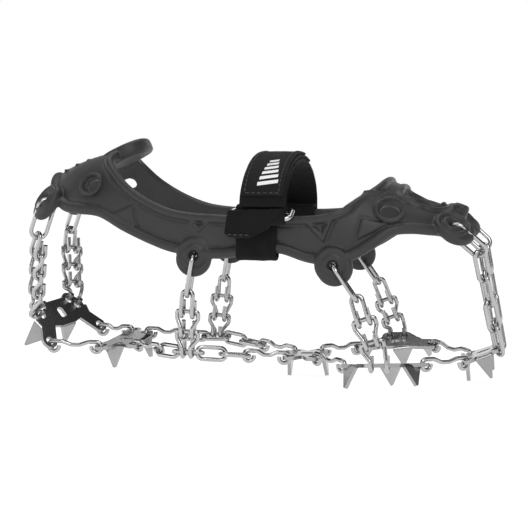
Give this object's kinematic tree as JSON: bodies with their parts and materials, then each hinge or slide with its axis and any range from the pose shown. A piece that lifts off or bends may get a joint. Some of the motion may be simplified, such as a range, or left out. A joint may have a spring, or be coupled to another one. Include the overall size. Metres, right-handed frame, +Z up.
{
  "type": "shoe ice cleats",
  "caption": "Pull-on ice traction harness for a shoe: elastomer band with eyelet lugs, instep strap, link chains and stamped plates with bent-down spikes under the sole.",
  "frame": {"origin": "middle of the shoe sole's footprint, at the sole's underside", "axes": "+X towards the toe, +Y to the wearer's left, +Z up"},
  "size_m": [0.2697, 0.1085, 0.134],
  "materials": {
    "harness_rubber": "matte moulded elastomer",
    "webbing": "woven black webbing",
    "strap_pad": "fine black fabric, stitched edges",
    "chain_steel": "tumbled stainless wire",
    "plate_steel": "stamped stainless sheet, satin",
    "ring_steel": "polished wire"
  },
  "bodies": {
    "harness_and_strap": {"harness": "harness_rubber", "near_heel_eyelet_link": "chain_steel", "near_mid_rear_eyelet_link": "chain_steel", "near_mid_front_eyelet_link": "chain_steel", "near_toe_eyelet_link": "chain_steel", "far_heel_eyelet_link": "chain_steel", "far_mid_rear_eyelet_link": "chain_steel", "far_mid_front_eyelet_link": "chain_steel", "far_toe_eyelet_link": "chain_steel", "near_anchor_loop": "webbing", "far_anchor_loop": "webbing", "instep_strap": "webbing", "strap_turnback": "webbing", "strap_ring": "ring_steel"},
    "chain_net": {"near_heel_hanger_link": "chain_steel", "near_mid_rear_hanger_link": "chain_steel", "near_mid_front_hanger_link": "chain_steel", "far_heel_hanger_link": "chain_steel", "far_mid_rear_hanger_link": "chain_steel", "far_mid_front_hanger_link": "chain_steel", "near_heel_ladder": "chain_steel", "near_mid_rear_ladder": "chain_steel", "near_mid_front_ladder": "chain_steel", "far_heel_ladder": "chain_steel", "far_mid_rear_ladder": "chain_steel", "far_mid_front_ladder": "chain_steel", "near_toe_chain": "chain_steel", "far_toe_chain": "chain_steel", "near_side_link_1": "chain_steel", "near_side_link_2": "chain_steel", "near_side_link_3": "chain_steel", "near_side_link_4": "chain_steel", "far_side_link_1": "chain_steel", "far_side_link_2": "chain_steel", "far_side_link_3": "chain_steel", "far_side_link_4": "chain_steel", "near_heel_side_connector": "chain_steel", "near_ball_side_connector": "chain_steel", "near_heel_connector": "chain_steel", "near_ball_connector": "chain_steel", "near_toe_connector": "chain_steel", "far_heel_side_connector": "chain_steel", "far_ball_side_connector": "chain_steel", "far_heel_connector": "chain_steel", "far_ball_connector": "chain_steel", "far_toe_connector": "chain_steel", "heel_rear_plate": "plate_steel", "heel_front_plate": "plate_steel", "ball_centre_plate": "plate_steel", "ball_near_plate": "plate_steel", "ball_far_plate": "plate_steel", "toe_plate": "plate_steel"},
    "flap": {"strap_flap": "webbing", "strap_patch": "strap_pad"}
  },
  "joints": [
    {"name": "net_lift", "type": "slide", "parent": "harness_and_strap", "child": "chain_net", "axis": [0, 0, 1], "range_m": [0, 0.0005]},
    {"name": "strap_flap_peel", "type": "hinge", "parent": "harness_and_strap", "child": "flap", "pos_m": [0.01, -0.053, 0.0805], "axis": [1, 0, 0], "range_deg": [0, 100]}
  ]
}
